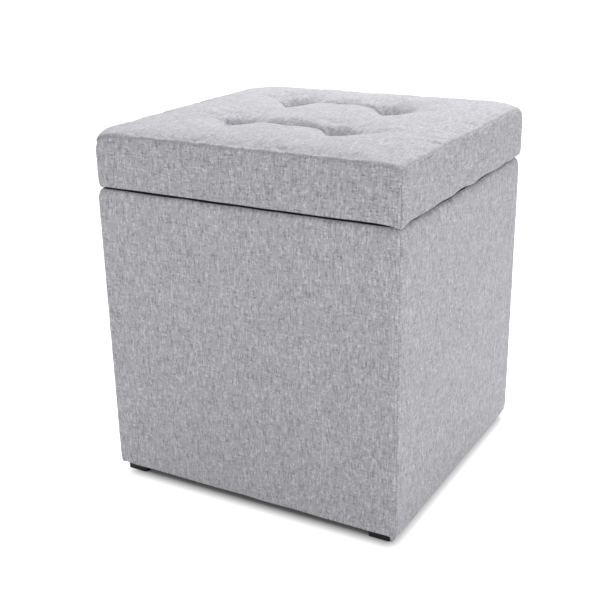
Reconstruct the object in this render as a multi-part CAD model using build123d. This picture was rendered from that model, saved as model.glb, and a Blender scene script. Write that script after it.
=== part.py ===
from build123d import *
from math import cos, radians, sin, sqrt, tan
import os

# Square storage ottoman on four low block feet, with a hinged, tufted lid that two slotted
# stays hold open.  Millimetres.  +X is the sitter's right, +Y the hinge side, +Z up, and the
# origin lies on the floor under the middle of the base.

# Overall sizes
BASE_WIDTH = 400.0
BASE_DEPTH = 380.0
BASE_HEIGHT = 370.0          # base cover, from its bottom edge to the rim
LID_OVERHANG = 1.75          # lid beyond the base on every side
LID_SIDE = 65.0              # lid underside to the seam round its top
LID_CROWN = 7.5              # that seam to the highest point of the cushion

# Layers of the base, outside to inside
FABRIC = 1.2
WADDING = 5.0
PANEL = 12.0
LINING = 1.0
CORNER_RADIUS = 6.0          # upright edges of the base cover
COVER_EDGE = 2.0             # cover's roll over the rim and under the bottom edge
RIM_RETURN = 28.0            # cover folded down inside the rim
BOTTOM_RETURN = 30.0         # cover folded under the bottom
LINING_DROP = 8.0            # lining's top edge below the rim
BOTTOM_PANEL = 6.0
BOTTOM_CLEARANCE = 0.5
CLEAT = 20.0
DUST_COVER = 0.8
DUST_COVER_INSET = 12.0

# Feet: square moulded blocks with a ribbed, hollow underside
FOOT_HEIGHT = 9.2
FOOT_SIDE = 30.0
FOOT_CORNER = 4.0
FOOT_DRAFT = 2.0             # degrees, narrower towards the floor
FOOT_EDGE = 0.6              # rounding where the walls meet the floor
FOOT_WALL = 2.5
FOOT_TOP = 2.0
FOOT_BOSS = 6.5
FOOT_RIB = 1.6
FOOT_RECESS = 0.8            # ribs and boss above the floor
FOOT_INSET_X = 25.0          # foot centre from the side of the base
FOOT_INSET_Y = 21.5          # foot centre from the front or rear of the base

# Lid
LID_BOARD = 12.0
LID_FOAM_SIDE = 4.05         # foam wrapped round the board's edge
LID_CORNER = 9.0
LID_TOP_EDGE = 7.0
LID_RETURN = 30.0
LID_LINING = 0.8
LID_LINING_CLEARANCE = 4.6   # lid lining clear of the well's walls when the lid is shut

# Tufts: two rows of two
TUFT_X = 69.0
TUFT_Y = 72.0
TUFT_DEPTH = 24.0
TUFT_BOTTOM = 12.5
TUFT_MOUTH = 48.0
BUTTON_RADIUS = 11.0
BUTTON_HEIGHT = 7.0
BUTTON_EDGE = 2.0            # straight rim below the dome
TIE_RADIUS = 1.0
TIE_HOLE = 1.3
WASHER_RADIUS = 8.0
WASHER = 1.5
WASHER_RECESS = 3.0
WASHER_CLEARANCE = 0.5

# Butt hinges behind the rear rim
HINGE_LENGTH = 50.0
HINGE_X = 110.0
KNUCKLES = 5
LEAF = 1.2
LEAF_GAP = 0.1
LEAF_REACH = 22.5            # hinge axis to the leaf's free edge
BARREL_RADIUS = 2.6
BARREL_CLEARANCE = 0.25
KNUCKLE_GAP = 0.25
KNUCKLE_RELIEF = 0.3
HINGE_PIN = 1.4
RUNNING_CLEARANCE = 0.05

# Lid stays: a slotted arm turns on the lid and slides over a pin on the base.  Both pivots
# lie at the same distance from the hinge axis, so the arm turns half as fast as the lid.
STAY_REACH = 110.0
STAY_START = 22.0            # degrees between the two pivots with the lid shut
LID_OPEN = 97.0              # degrees, where the pin meets the slot's end
STAY_PIVOT_DROP = 10.25      # lid pivot below the hinge axis
STAY_WIDTH = 16.0
STAY_ARM = 2.0
STAY_PIN = 2.5
SLOT_CLEARANCE = 0.1
SLOT_LEAD = 2.0              # slot past the pin with the lid shut
STAY_PLATE = 1.5
STAY_GAP = 0.2
STAY_HEAD = 2.0
STAY_HEAD_RADIUS = 4.4
STAY_SHOULDER = 4.0
LID_TAB_INSET = 1.8          # lid bracket's tab from the well's wall
STAY_FOOT_WIDTH = 30.0
STAY_FOOT_ABOVE = 12.0
STAY_FOOT_BELOW = 34.0
LID_BRACKET_WIDTH = 26.0
LID_BRACKET_FLANGE = 22.0
SHEET_CORNER = 4.0

# Screws: (length, head radius, head height, shank radius)
PANEL_SCREW = (45.0, 4.0, 3.0, 2.0)
BOTTOM_SCREW = (18.0, 3.2, 2.2, 1.6)
HINGE_BASE_SCREW = (16.0, 2.6, 1.2, 1.4)
HINGE_LID_SCREW = (12.0, 2.6, 1.2, 1.4)
STAY_SCREW = (12.0, 3.0, 1.5, 1.5)
FOOT_SCREW_LENGTH = 24.0
FOOT_SCREW_RADIUS = 2.0
FOOT_SCREW_HEAD = 2.4
FOOT_SCREW_HEAD_RADIUS = 4.0
FOOT_SCREW_HEAD_RECESS = 1.4
FOOT_SCREW_CLEARANCE = 0.4
PANEL_SCREW_MARGIN = 50.0
BOTTOM_SCREW_OFFSET = 90.0
HINGE_SCREW_PITCH = 17.0

# Heights
COVER_BOTTOM = FOOT_HEIGHT + DUST_COVER
PANEL_BOTTOM = COVER_BOTTOM + FABRIC
RIM = COVER_BOTTOM + BASE_HEIGHT
PANEL_TOP = RIM - FABRIC
CLEAT_TOP = PANEL_BOTTOM + CLEAT
WELL_FLOOR = CLEAT_TOP + BOTTOM_PANEL
LID_GAP = 2 * LEAF + LEAF_GAP
LID_UNDERSIDE = RIM + LID_GAP
BOARD_BOTTOM = LID_UNDERSIDE + FABRIC
BOARD_TOP = BOARD_BOTTOM + LID_BOARD
LID_SEAM = LID_UNDERSIDE + LID_SIDE
LID_TOP = LID_SEAM + LID_CROWN
TUFT_SEAT = LID_TOP - TUFT_DEPTH
LID_LINING_FACE = LID_UNDERSIDE - LID_LINING

# Half widths and depths, from the middle
BASE_X = BASE_WIDTH / 2
BASE_Y = BASE_DEPTH / 2
PANEL_X = BASE_X - FABRIC - WADDING
PANEL_Y = BASE_Y - FABRIC - WADDING
WELL_X = PANEL_X - PANEL
WELL_Y = PANEL_Y - PANEL
THROAT_X = WELL_X - FABRIC
THROAT_Y = WELL_Y - FABRIC
LINED_X = THROAT_X - LINING
LINED_Y = THROAT_Y - LINING
LID_X = BASE_X + LID_OVERHANG
LID_Y = BASE_Y + LID_OVERHANG
BOARD_X = LID_X - FABRIC - LID_FOAM_SIDE
BOARD_Y = LID_Y - FABRIC - LID_FOAM_SIDE

# Hinge axis and stay pivots, as (y, z)
AXIS_Y = LID_Y + BARREL_CLEARANCE + BARREL_RADIUS
AXIS_Z = RIM + LEAF + LEAF_GAP / 2
PIVOT_Y = AXIS_Y - sqrt(STAY_REACH**2 - STAY_PIVOT_DROP**2)
PIVOT_Z = AXIS_Z - STAY_PIVOT_DROP


def turned_about_hinge(y, z, degrees):
    """The point (y, z) of the lid after the lid has opened by that many degrees."""
    a = radians(degrees)
    dy, dz = y - AXIS_Y, z - AXIS_Z
    return AXIS_Y + dy * cos(a) + dz * sin(a), AXIS_Z - dy * sin(a) + dz * cos(a)


GUIDE_Y, GUIDE_Z = turned_about_hinge(PIVOT_Y, PIVOT_Z, -STAY_START)
SLOT_START = 2 * STAY_REACH * sin(radians(STAY_START / 2)) - SLOT_LEAD
SLOT_END = 2 * STAY_REACH * sin(radians((STAY_START + LID_OPEN) / 2)) + SLOT_CLEARANCE

# Layers of the right-hand stay, as x
STAY_FOOT_X = LINED_X - STAY_PLATE
TAB_X = LINED_X - LID_TAB_INSET - STAY_PLATE
ARM_OUTER_X = TAB_X - STAY_GAP
ARM_X = ARM_OUTER_X - STAY_ARM
HEAD_X = ARM_X - STAY_GAP

LEFT_RIGHT = (("left", -1), ("right", 1))
CORNERS = (
    ("front_left", -1, -1),
    ("front_right", 1, -1),
    ("rear_left", -1, 1),
    ("rear_right", 1, 1),
)


# Shared shapes
def block(x0, x1, y0, y1, z0, z1):
    """A box between two corners."""
    middle = Pos((x0 + x1) / 2, (y0 + y1) / 2, (z0 + z1) / 2)
    return middle * Box(x1 - x0, y1 - y0, z1 - z0)


def slab(half_x, half_y, z0, z1, radius=0.0):
    """An upright prism about the Z axis, with rounded upright edges if a radius is given."""
    if radius:
        outline = RectangleRounded(2 * half_x, 2 * half_y, radius)
    else:
        outline = Rectangle(2 * half_x, 2 * half_y)
    return Pos(0, 0, z0) * extrude(outline, amount=z1 - z0)


def turned(*points):
    """A solid of revolution about Z from its half outline, given as (radius, height)."""
    return revolve(Plane.XZ * make_face(Polyline(*points, close=True)), Axis.Z)


def rod(radius, x0, x1):
    """A round bar along X at the hinge axis."""
    place = Pos((x0 + x1) / 2, AXIS_Y, AXIS_Z) * Rot(0, 90, 0)
    return place * Cylinder(radius, x1 - x0)


def screw(length, head_radius, head, shank_radius):
    """A countersunk screw along -Z, the face of its head at the origin."""
    tip = 1.5 * shank_radius
    return turned(
        (0, 0), (head_radius, 0), (shank_radius, -head), (shank_radius, tip - length), (0, -length)
    )


def right_or_left(solid, side):
    """A right-hand piece as it is, or mirrored to the left."""
    return solid if side > 0 else mirror(solid, about=Plane.YZ)


def group(pieces):
    """Identical pieces that share one node."""
    return Compound(children=[piece.solid() for piece in pieces])


# Base
def panel_screws():
    """Three screws at each corner, through the front or rear panel into a side panel."""
    middle = (PANEL_BOTTOM + PANEL_TOP) / 2
    heights = (PANEL_BOTTOM + PANEL_SCREW_MARGIN, middle, PANEL_TOP - PANEL_SCREW_MARGIN)
    x = PANEL_X - PANEL / 2
    return [
        Pos(side * x, end * PANEL_Y, z) * Rot(-90 * end, 0, 0) * screw(*PANEL_SCREW)
        for _, side, end in CORNERS
        for z in heights
    ]


def bottom_screws():
    """Two screws on each side, through the bottom panel into a cleat."""
    x, y = WELL_X - CLEAT / 2, WELL_Y - CLEAT / 2
    places = []
    for a in (-1, 1):
        for b in (-1, 1):
            places.append((a * x, b * BOTTOM_SCREW_OFFSET))
            places.append((a * BOTTOM_SCREW_OFFSET, b * y))
    return [Pos(x, y, WELL_FLOOR) * screw(*BOTTOM_SCREW) for x, y in places]


def end_panel(end):
    """The front (-1) or rear (1) panel, across the full width of the frame."""
    y = sorted((end * WELL_Y, end * PANEL_Y))
    panel = block(-PANEL_X, PANEL_X, *y, PANEL_BOTTOM, PANEL_TOP)
    return panel - panel_screws() - (hinge_screws_base() if end > 0 else [])


def side_panel(side):
    """The left (-1) or right (1) panel, between the front and rear panels."""
    x = sorted((side * WELL_X, side * PANEL_X))
    panel = block(*x, -WELL_Y, WELL_Y, PANEL_BOTTOM, PANEL_TOP)
    return panel - panel_screws() - stay_screws_base()


def cleats():
    """Four battens round the bottom of the frame, which carry the bottom panel."""
    bars = []
    for s in (-1, 1):
        y = sorted((s * WELL_Y, s * (WELL_Y - CLEAT)))
        x = sorted((s * WELL_X, s * (WELL_X - CLEAT)))
        bars.append(block(-WELL_X, WELL_X, *y, PANEL_BOTTOM, CLEAT_TOP))
        bars.append(block(*x, CLEAT - WELL_Y, WELL_Y - CLEAT, PANEL_BOTTOM, CLEAT_TOP))
    return [bar - bottom_screws() - foot_screws() for bar in bars]


def bottom_panel():
    """The thin floor of the storage well."""
    half_x, half_y = WELL_X - BOTTOM_CLEARANCE, WELL_Y - BOTTOM_CLEARANCE
    return slab(half_x, half_y, CLEAT_TOP, WELL_FLOOR) - bottom_screws()


def wadding():
    """A thin foam sheet on the outside of each panel."""
    sheets = []
    for s in (-1, 1):
        y = sorted((s * PANEL_Y, s * (PANEL_Y + WADDING)))
        sheets.append(block(-PANEL_X, PANEL_X, *y, PANEL_BOTTOM, PANEL_TOP))
        x = sorted((s * PANEL_X, s * (PANEL_X + WADDING)))
        reach = PANEL_Y + WADDING
        sheet = block(*x, -reach, reach, PANEL_BOTTOM, PANEL_TOP)
        outer = sheet.edges().filter_by(Axis.Z).group_by(Axis.X)[-1 if s > 0 else 0]
        sheets.append(fillet(outer, CORNER_RADIUS - FABRIC))
    return sheets


def base_cover():
    """The fabric skin: down the outside, over the rim into the well and under the bottom."""
    skin = slab(BASE_X, BASE_Y, COVER_BOTTOM, RIM, CORNER_RADIUS)
    rolled = skin.edges().group_by(Axis.Z)
    skin = fillet(rolled[0] + rolled[-1], COVER_EDGE)
    return_bottom = RIM - RIM_RETURN
    inner_radius = CORNER_RADIUS - FABRIC
    inside = slab(BASE_X - FABRIC, BASE_Y - FABRIC, PANEL_BOTTOM, PANEL_TOP, inner_radius)
    folded = slab(WELL_X, WELL_Y, return_bottom, PANEL_TOP)
    throat = slab(THROAT_X, THROAT_Y, return_bottom, RIM)
    under = slab(BASE_X - BOTTOM_RETURN, BASE_Y - BOTTOM_RETURN, COVER_BOTTOM, PANEL_BOTTOM)
    skin = skin - (inside - folded) - throat - under
    return skin - hinge_screws_base() - foot_screws()


def base_lining():
    """A loose open box of non-woven cloth inside the well."""
    top = RIM - LINING_DROP
    box = slab(THROAT_X, THROAT_Y, WELL_FLOOR, top)
    return box - slab(LINED_X, LINED_Y, WELL_FLOOR + LINING, top) - stay_screws_base()


def dust_cover():
    """The black cloth that closes the underside."""
    half_x, half_y = BASE_X - DUST_COVER_INSET, BASE_Y - DUST_COVER_INSET
    return slab(half_x, half_y, FOOT_HEIGHT, COVER_BOTTOM) - foot_screws()


# Feet
def foot_places():
    return [(a * (BASE_X - FOOT_INSET_X), b * (BASE_Y - FOOT_INSET_Y)) for _, a, b in CORNERS]


def foot_screw():
    """A pan-head screw up through a foot, its head inside the foot's boss."""
    head = FOOT_SCREW_HEAD_RECESS
    seat = head + FOOT_SCREW_HEAD
    top = seat + FOOT_SCREW_LENGTH
    return turned(
        (0, head),
        (FOOT_SCREW_HEAD_RADIUS, head),
        (FOOT_SCREW_HEAD_RADIUS, seat),
        (FOOT_SCREW_RADIUS, seat),
        (FOOT_SCREW_RADIUS, top - FOOT_SCREW_RADIUS),
        (0, top),
    )


def foot_screws():
    return [Pos(x, y, 0) * foot_screw() for x, y in foot_places()]


def foot(x, y):
    """One block: a drafted box, open below, with a boss and ribs a little clear of the floor."""
    half = FOOT_SIDE / 2
    outline = RectangleRounded(FOOT_SIDE, FOOT_SIDE, FOOT_CORNER)
    solid = Pos(0, 0, FOOT_HEIGHT) * extrude(outline, amount=-FOOT_HEIGHT, taper=FOOT_DRAFT)
    shell = fillet(solid.edges().group_by(Axis.Z)[0], FOOT_EDGE)
    ceiling = FOOT_HEIGHT - FOOT_TOP
    hollow = half - FOOT_WALL - FOOT_HEIGHT * tan(radians(FOOT_DRAFT))
    shell -= slab(hollow, hollow, 0, ceiling, FOOT_CORNER - FOOT_WALL)
    depth = ceiling - FOOT_RECESS
    inner = Pos(0, 0, FOOT_RECESS + depth / 2) * Cylinder(FOOT_BOSS, depth)
    reach, rib = hollow + FOOT_WALL / 2, FOOT_RIB / 2
    inner += block(-reach, reach, -rib, rib, FOOT_RECESS, ceiling)
    inner += block(-rib, rib, -reach, reach, FOOT_RECESS, ceiling)
    recess = FOOT_SCREW_HEAD_RADIUS + FOOT_SCREW_CLEARANCE
    seat = FOOT_SCREW_HEAD_RECESS + FOOT_SCREW_HEAD
    counterbore = turned((0, 0), (recess, 0), (recess, seat), (0, seat))
    return Pos(x, y, 0) * (shell + inner - counterbore - foot_screw())


# Lid
def tuft_places():
    return [(a * TUFT_X, b * TUFT_Y) for _, a, b in CORNERS]


def tuft_hollow():
    """The space that one tuft pulls into the cushion: a trumpet that opens upwards."""
    rise = TUFT_DEPTH + LID_CROWN
    waist = (TUFT_BOTTOM + (TUFT_MOUTH - TUFT_BOTTOM) * 0.36, TUFT_DEPTH * 0.6)
    flare = ThreePointArc((TUFT_BOTTOM, 0), waist, (TUFT_MOUTH, TUFT_DEPTH))
    outline = flare + Polyline(
        (TUFT_MOUTH, TUFT_DEPTH), (TUFT_MOUTH, rise), (0, rise), (0, 0), (TUFT_BOTTOM, 0)
    )
    return revolve(Plane.XZ * make_face(outline), Axis.Z)


def lid_form(inset):
    """The crowned, tufted lid, its sides and top moved in by inset, down to its underside."""
    half_x, half_y = LID_X - inset, LID_Y - inset
    top = LID_TOP - inset
    ball = (LID_X**2 + LID_CROWN**2) / (2 * LID_CROWN)
    form = slab(half_x, half_y, LID_UNDERSIDE + inset, top, LID_CORNER - inset)
    form = form & (Pos(0, 0, top - ball) * Sphere(ball))
    crown = form.faces().sort_by(Axis.Z)[-1]
    form = fillet(crown.edges(), LID_TOP_EDGE - inset)
    return form - [Pos(x, y, TUFT_SEAT - inset) * tuft_hollow() for x, y in tuft_places()]


def tie_holes(z0, z1):
    middle = (z0 + z1) / 2
    return [Pos(x, y, middle) * Cylinder(TIE_HOLE, z1 - z0) for x, y in tuft_places()]


def lid_board():
    """The board under the cushion, recessed below for the washers that hold the tufts."""
    board = slab(BOARD_X, BOARD_Y, BOARD_BOTTOM, BOARD_TOP)
    radius = WASHER_RADIUS + WASHER_CLEARANCE
    for x, y in tuft_places():
        board -= Pos(x, y, BOARD_BOTTOM + WASHER_RECESS / 2) * Cylinder(radius, WASHER_RECESS)
    return board - tie_holes(BOARD_BOTTOM, BOARD_TOP) - hinge_screws_lid() - stay_screws_lid()


def lid_foam():
    """The cushion: foam over the board and round its edges."""
    foam = lid_form(FABRIC) - slab(BOARD_X, BOARD_Y, BOARD_BOTTOM, BOARD_TOP)
    return foam - tie_holes(BOARD_TOP, TUFT_SEAT)


def lid_cover():
    """The fabric skin of the lid, folded under its edge."""
    skin = lid_form(0) - lid_form(FABRIC)
    skin -= slab(LID_X - LID_RETURN, LID_Y - LID_RETURN, LID_UNDERSIDE, BOARD_BOTTOM)
    return skin - tie_holes(TUFT_SEAT - 2 * FABRIC, TUFT_SEAT) - hinge_screws_lid()


def lid_lining():
    """The cloth that covers the board inside the lid, clear of the well's walls."""
    half_x, half_y = LINED_X - LID_LINING_CLEARANCE, LINED_Y - LID_LINING_CLEARANCE
    return slab(half_x, half_y, LID_LINING_FACE, LID_UNDERSIDE) - stay_screws_lid()


def tuft_button(x, y):
    """A covered button: a flat back, a rolled edge and a domed face."""
    rise = BUTTON_HEIGHT - BUTTON_EDGE
    ball = (BUTTON_RADIUS**2 + rise**2) / (2 * rise)
    roll = 0.8 * BUTTON_EDGE
    outline = Polyline((0, BUTTON_HEIGHT), (0, 0), (BUTTON_RADIUS - roll, 0))
    outline += RadiusArc((BUTTON_RADIUS - roll, 0), (BUTTON_RADIUS, roll), -roll)
    outline += Line((BUTTON_RADIUS, roll), (BUTTON_RADIUS, BUTTON_EDGE))
    outline += RadiusArc((BUTTON_RADIUS, BUTTON_EDGE), (0, BUTTON_HEIGHT), -ball)
    return Pos(x, y, TUFT_SEAT) * revolve(Plane.XZ * make_face(outline), Axis.Z)


def washer_seat():
    return BOARD_BOTTOM + WASHER_RECESS - WASHER


def tuft_ties():
    """A twine from each button's back to a knot under its washer."""
    knot = 2.2 * TIE_RADIUS
    low = washer_seat()
    knot_bottom = low - 1.2
    tie = turned(
        (0, knot_bottom), (knot, knot_bottom), (knot, low), (TIE_RADIUS, low),
        (TIE_RADIUS, TUFT_SEAT), (0, TUFT_SEAT)
    )
    return [Pos(x, y, 0) * tie for x, y in tuft_places()]


def tuft_washers():
    ring = Cylinder(WASHER_RADIUS, WASHER) - Cylinder(TIE_HOLE, WASHER)
    return [Pos(x, y, washer_seat() + WASHER / 2) * ring for x, y in tuft_places()]


# Hinges
def hinge_leaf(side, on_lid):
    """One leaf with its share of the knuckles: the base has the odd ones, the lid the even."""
    middle = side * HINGE_X
    x0, x1 = middle - HINGE_LENGTH / 2, middle + HINGE_LENGTH / 2
    z0 = AXIS_Z + LEAF_GAP / 2 if on_lid else AXIS_Z - LEAF_GAP / 2 - LEAF
    leaf = block(x0, x1, AXIS_Y - LEAF_REACH, AXIS_Y, z0, z0 + LEAF)
    free_edge = leaf.edges().filter_by(Axis.Z).group_by(Axis.Y)[0]
    leaf = fillet(free_edge, SHEET_CORNER)
    pitch = HINGE_LENGTH / KNUCKLES
    relief = AXIS_Y - BARREL_RADIUS - KNUCKLE_RELIEF
    for k in range(KNUCKLES):
        k0, k1 = x0 + k * pitch, x0 + (k + 1) * pitch
        if (k % 2 == 1) == on_lid:
            leaf += rod(BARREL_RADIUS, k0 + KNUCKLE_GAP / 2, k1 - KNUCKLE_GAP / 2)
            trims = ((k0, k0 + KNUCKLE_GAP / 2), (k1 - KNUCKLE_GAP / 2, k1))
        else:
            trims = ((k0, k1),)
        for t0, t1 in trims:
            leaf -= block(t0, t1, relief, AXIS_Y + LEAF, z0, z0 + LEAF)
    leaf -= rod(HINGE_PIN + RUNNING_CLEARANCE, x0, x1)
    return leaf - (hinge_screws_lid() if on_lid else hinge_screws_base())


def hinge_pins():
    """A pin through each hinge, with a small head at both ends of the barrel."""
    pins = []
    for _, side in LEFT_RIGHT:
        x0, x1 = side * HINGE_X - HINGE_LENGTH / 2, side * HINGE_X + HINGE_LENGTH / 2
        head = 0.8
        pin = rod(HINGE_PIN, x0, x1)
        pins.append(pin + rod(1.5 * HINGE_PIN, x0 - head, x0) + rod(1.5 * HINGE_PIN, x1, x1 + head))
    return pins


def hinge_screw_places():
    """Three in a row on each leaf, over the middle of the rear panel, as (x, y)."""
    return [
        (side * HINGE_X + step * HINGE_SCREW_PITCH, PANEL_Y - PANEL / 2)
        for _, side in LEFT_RIGHT
        for step in (-1, 0, 1)
    ]


def hinge_screws_base():
    top = AXIS_Z - LEAF_GAP / 2
    return [Pos(x, y, top) * screw(*HINGE_BASE_SCREW) for x, y in hinge_screw_places()]


def hinge_screws_lid():
    face = AXIS_Z + LEAF_GAP / 2
    upward = Rot(180, 0, 0) * screw(*HINGE_LID_SCREW)
    return [Pos(x, y, face) * upward for x, y in hinge_screw_places()]


# Lid stays, modelled on the right and mirrored
def stay_arm(side):
    """The slotted arm, hanging from the lid pivot and over the guide pin."""
    outline = Pos(SLOT_END / 2, 0) * SlotCenterToCenter(SLOT_END, STAY_WIDTH)
    outline -= Circle(STAY_PIN + RUNNING_CLEARANCE)
    slot_middle = (SLOT_START + SLOT_END) / 2
    slot_width = 2 * (STAY_PIN + SLOT_CLEARANCE)
    outline -= Pos(slot_middle, 0) * SlotCenterToCenter(SLOT_END - SLOT_START, slot_width)
    along = Vector(0, GUIDE_Y - PIVOT_Y, GUIDE_Z - PIVOT_Z)
    plane = Plane(origin=(ARM_X, PIVOT_Y, PIVOT_Z), x_dir=along, z_dir=(1, 0, 0))
    return right_or_left(extrude(plane * outline, amount=STAY_ARM), side)


def stay_base_bracket(side):
    """The plate on the well's wall that carries the guide pin."""
    height = STAY_FOOT_ABOVE + STAY_FOOT_BELOW
    plate = extrude(RectangleRounded(STAY_FOOT_WIDTH, height, SHEET_CORNER), amount=STAY_PLATE)
    middle = GUIDE_Z + (STAY_FOOT_ABOVE - STAY_FOOT_BELOW) / 2
    upright = Plane(origin=(STAY_FOOT_X, GUIDE_Y, middle), x_dir=(0, 1, 0), z_dir=(1, 0, 0))
    plate = upright * plate
    plate -= guide_pin()
    return right_or_left(plate - stay_screws_base(), side)


def stay_lid_bracket(side):
    """An angle under the lid: a flange on the lining and a rounded tab that carries the arm."""
    half = LID_BRACKET_WIDTH / 2
    y0, y1 = PIVOT_Y - half, PIVOT_Y + half
    top, outer = LID_LINING_FACE, TAB_X + STAY_PLATE
    flange = block(outer - LID_BRACKET_FLANGE, outer, y0, y1, top - STAY_PLATE, top)
    inner_corners = flange.edges().filter_by(Axis.Z).group_by(Axis.X)[0]
    flange = fillet(inner_corners, SHEET_CORNER)
    tab = block(TAB_X, outer, y0, y1, PIVOT_Z, top)
    eye = Pos((TAB_X + outer) / 2, PIVOT_Y, PIVOT_Z) * Rot(0, 90, 0)
    ear = eye * Cylinder(STAY_WIDTH / 2, STAY_PLATE)
    low = PIVOT_Z - STAY_WIDTH / 2
    shoulder = loft([
        Pos((TAB_X + outer) / 2, PIVOT_Y, PIVOT_Z) * Rectangle(STAY_PLATE, LID_BRACKET_WIDTH),
        Pos((TAB_X + outer) / 2, PIVOT_Y, low + 1) * Rectangle(STAY_PLATE, STAY_WIDTH / 2),
    ])
    bracket = flange + tab + shoulder + ear
    bend = bracket.edges().filter_by(Axis.Y).group_by(Axis.Z)[-1].sort_by(Axis.X)[-1]
    bracket = fillet(bend, STAY_PLATE - 0.1)
    return right_or_left(bracket - pivot_rivet() - stay_screws_lid(), side)


def guide_pin():
    """The pin that the arm slides over: riveted into its plate, shouldered, with a flat head."""
    foot_depth, head = LINED_X - STAY_FOOT_X, LINED_X - HEAD_X
    neck = LINED_X - ARM_OUTER_X - STAY_GAP / 2
    pin = turned(
        (0, 0), (STAY_PIN, 0), (STAY_PIN, foot_depth), (STAY_SHOULDER, foot_depth),
        (STAY_SHOULDER, neck), (STAY_PIN, neck), (STAY_PIN, head), (STAY_HEAD_RADIUS, head),
        (STAY_HEAD_RADIUS, head + STAY_HEAD), (0, head + STAY_HEAD)
    )
    return Pos(LINED_X, GUIDE_Y, GUIDE_Z) * Rot(0, -90, 0) * pin


def pivot_rivet():
    """The rivet that the arm turns on, through the lid bracket's tab."""
    outer = TAB_X + STAY_PLATE
    head = outer - HEAD_X
    rivet = turned(
        (0, 0), (STAY_PIN, 0), (STAY_PIN, head), (STAY_HEAD_RADIUS, head),
        (STAY_HEAD_RADIUS, head + STAY_HEAD), (0, head + STAY_HEAD)
    )
    return Pos(outer, PIVOT_Y, PIVOT_Z) * Rot(0, -90, 0) * rivet


def pair(right):
    """A right-hand piece and its mirror image."""
    return [right_or_left(right, side) for _, side in LEFT_RIGHT]


def stay_screws_base():
    """Two screws below each guide pin, through the lining into the side panel."""
    into_wall = Rot(0, -90, 0) * screw(*STAY_SCREW)
    y_step = STAY_FOOT_WIDTH / 4
    z = GUIDE_Z - STAY_FOOT_BELOW + 2 * SHEET_CORNER
    screws = []
    for step in (-1, 1):
        screws += pair(Pos(STAY_FOOT_X, GUIDE_Y + step * y_step, z) * into_wall)
    return screws


def stay_screws_lid():
    """Two screws up through each lid bracket into the board."""
    upward = Rot(180, 0, 0) * screw(*STAY_SCREW)
    x = TAB_X + STAY_PLATE - 0.6 * LID_BRACKET_FLANGE
    screws = []
    for step in (-1, 1):
        place = Pos(x, PIVOT_Y + step * LID_BRACKET_WIDTH / 4, LID_LINING_FACE - STAY_PLATE)
        screws += pair(place * upward)
    return screws


def nodes():
    """Every sub-part by its node's name."""
    made = {
        "front_panel": end_panel(-1),
        "rear_panel": end_panel(1),
        "left_panel": side_panel(-1),
        "right_panel": side_panel(1),
        "bottom_cleats": group(cleats()),
        "bottom_panel": bottom_panel(),
        "panel_screws": group(panel_screws()),
        "bottom_screws": group(bottom_screws()),
        "side_wadding": group(wadding()),
        "base_cover": base_cover(),
        "base_lining": base_lining(),
        "dust_cover": dust_cover(),
        "foot_screws": group(foot_screws()),
        "hinge_pins": group(hinge_pins()),
        "hinge_screws_base": group(hinge_screws_base()),
        "hinge_screws_lid": group(hinge_screws_lid()),
        "stay_guide_pins": group(pair(guide_pin())),
        "stay_pivot_rivets": group(pair(pivot_rivet())),
        "stay_screws_base": group(stay_screws_base()),
        "stay_screws_lid": group(stay_screws_lid()),
        "lid_board": lid_board(),
        "lid_foam": lid_foam(),
        "lid_cover": lid_cover(),
        "lid_lining": lid_lining(),
        "tuft_ties": group(tuft_ties()),
        "tuft_washers": group(tuft_washers()),
    }
    for (name, _, _), place, tuft in zip(CORNERS, foot_places(), tuft_places()):
        made[f"foot_{name}"] = foot(*place)
        made[f"tuft_button_{name}"] = tuft_button(*tuft)
    for name, side in LEFT_RIGHT:
        made[f"hinge_base_leaf_{name}"] = hinge_leaf(side, on_lid=False)
        made[f"hinge_lid_leaf_{name}"] = hinge_leaf(side, on_lid=True)
        made[f"stay_arm_{name}"] = stay_arm(side)
        made[f"stay_base_bracket_{name}"] = stay_base_bracket(side)
        made[f"stay_lid_bracket_{name}"] = stay_lid_bracket(side)
    return made


def main():
    os.makedirs("parts", exist_ok=True)
    for name, shape in nodes().items():
        export_step(shape, f"parts/{name}.step")
    print(f"hinge axis y {AXIS_Y:.3f} z {AXIS_Z:.3f}")
    print(f"lid pivot y {PIVOT_Y:.3f} z {PIVOT_Z:.3f}, guide pin y {GUIDE_Y:.3f} z {GUIDE_Z:.3f}")


main()
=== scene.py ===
"""Storage ottoman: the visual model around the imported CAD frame. Metres; +X right, +Y back, +Z up.

The soft pieces are worked out in mm and become metres when their meshes are made."""

import math

import bpy
import numpy as np
from mathutils import Matrix, Vector


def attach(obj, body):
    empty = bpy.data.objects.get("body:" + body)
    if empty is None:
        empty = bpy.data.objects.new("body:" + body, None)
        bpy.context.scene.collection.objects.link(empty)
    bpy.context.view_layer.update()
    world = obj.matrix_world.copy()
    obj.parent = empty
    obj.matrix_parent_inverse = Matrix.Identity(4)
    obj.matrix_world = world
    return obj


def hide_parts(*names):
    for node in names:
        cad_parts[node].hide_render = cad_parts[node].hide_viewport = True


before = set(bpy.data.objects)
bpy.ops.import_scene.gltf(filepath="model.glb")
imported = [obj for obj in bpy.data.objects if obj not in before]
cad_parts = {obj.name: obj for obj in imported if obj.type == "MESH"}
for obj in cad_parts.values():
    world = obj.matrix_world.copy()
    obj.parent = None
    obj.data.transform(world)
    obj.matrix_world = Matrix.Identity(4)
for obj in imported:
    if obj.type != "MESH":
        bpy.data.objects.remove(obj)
scene = bpy.context.scene
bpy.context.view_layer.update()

MM = 0.001

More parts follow.
